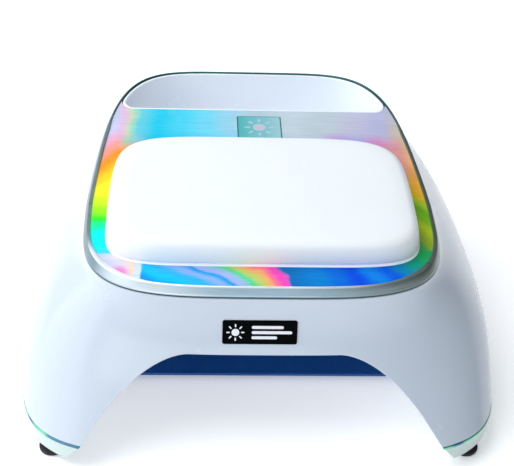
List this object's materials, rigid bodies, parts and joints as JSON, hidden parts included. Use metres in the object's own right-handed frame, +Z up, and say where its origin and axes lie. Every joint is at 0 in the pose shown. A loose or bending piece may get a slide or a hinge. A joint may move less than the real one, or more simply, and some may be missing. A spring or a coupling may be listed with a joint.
{
  "type": "nail curing lamp",
  "caption": "Arched lamp housing on two legs with a tilted top deck, padded hand rest, recessed carry handle, lit chamber and pull-out floor tray.",
  "frame": {"origin": "on the floor under the centre of the lamp's bounding box", "axes": "+Z up, the open arch of the hand chamber faces -Y, +X is the lamp's right seen from the front"},
  "size_m": [0.2352, 0.2334, 0.1022],
  "materials": {
    "white_gloss": "gloss",
    "pearl_frame": "pearl gloss",
    "white_matte": "matte",
    "teal_metallic": "metallic gloss",
    "foot_rubber": "matte",
    "bezel_silver": "satin metallic",
    "iridescent_print": "iridescent gloss",
    "cushion": "smooth matte",
    "badge_black": "gloss",
    "reflector_white": "gloss",
    "tray_navy": "tinted mirror",
    "board_white": "solder mask",
    "board_green": "solder mask",
    "led_lens": "clear",
    "sensor_black": "gloss",
    "aluminium": "brushed",
    "component_black": "matte",
    "cell_wrap": "shrink wrap",
    "wire_red": "satin",
    "panel_grey": "satin",
    "display_glass": "tinted acrylic",
    "button_silver": "satin",
    "rocker_red": "gloss",
    "lamp_green": "clear",
    "steel": "zinc"
  },
  "bodies": {
    "housing": {"housing_shell": "white_gloss", "base_frame": "pearl_frame", "accent_strip": "teal_metallic", "rubber_feet": "foot_rubber", "bezel_ring": "bezel_silver", "deck_carrier": "white_matte", "top_plate": "iridescent_print", "plate_emblem": "teal_metallic", "hand_rest_base": "white_matte", "hand_rest_pad": "cushion", "handle_well": "white_gloss", "front_badge": "badge_black", "chamber_reflector": "reflector_white", "ceiling_led_board": "board_white", "side_led_board_left": "board_white", "side_led_board_right": "board_white", "ceiling_leds": "led_lens", "side_leds_left": "led_lens", "side_leds_right": "led_lens", "hand_sensor": "sensor_black", "heat_spreader": "aluminium", "thermal_cutout": "component_black", "main_board": "board_green", "board_components": "component_black", "buzzer": "component_black", "battery_pack": "cell_wrap", "battery_cradle": "component_black", "wiring_loom": "wire_red", "control_panel": "panel_grey", "display_window": "display_glass", "display_module": "component_black", "control_board": "board_green", "tact_switches": "component_black", "rocker_housing": "component_black", "dc_jack": "component_black", "charge_light": "lamp_green", "rear_cover": "white_matte", "tray_rail_left": "white_matte", "tray_rail_right": "white_matte", "frame_screws": "steel", "cover_screws": "steel", "rail_screws": "steel", "spreader_screws": "steel", "board_screws": "steel", "panel_screws": "steel"},
    "floor_tray": {"floor_tray": "tray_navy"},
    "timer_button_1": {"timer_button_1": "button_silver"},
    "timer_button_2": {"timer_button_2": "button_silver"},
    "timer_button_3": {"timer_button_3": "button_silver"},
    "timer_button_4": {"timer_button_4": "button_silver"},
    "power_rocker": {"power_rocker": "rocker_red"}
  },
  "joints": [
    {"name": "tray_slide", "type": "slide", "parent": "housing", "child": "floor_tray", "axis": [0, -1, 0], "range_m": [0, 0.1]},
    {"name": "timer_button_1_press", "type": "slide", "parent": "housing", "child": "timer_button_1", "axis": [0, -1, 0], "range_m": [0, 0.0008], "stiffness_N_per_m": 600, "springref_m": -0.0004},
    {"name": "timer_button_2_press", "type": "slide", "parent": "housing", "child": "timer_button_2", "axis": [0, -1, 0], "range_m": [0, 0.0008], "stiffness_N_per_m": 600, "springref_m": -0.0004},
    {"name": "timer_button_3_press", "type": "slide", "parent": "housing", "child": "timer_button_3", "axis": [0, -1, 0], "range_m": [0, 0.0008], "stiffness_N_per_m": 600, "springref_m": -0.0004},
    {"name": "timer_button_4_press", "type": "slide", "parent": "housing", "child": "timer_button_4", "axis": [0, -1, 0], "range_m": [0, 0.0008], "stiffness_N_per_m": 600, "springref_m": -0.0004},
    {"name": "power_rocker_tilt", "type": "hinge", "parent": "housing", "child": "power_rocker", "pos_m": [-0.044, 0.1092, 0.032], "axis": [1, 0, 0], "range_deg": [-16, 0]}
  ]
}
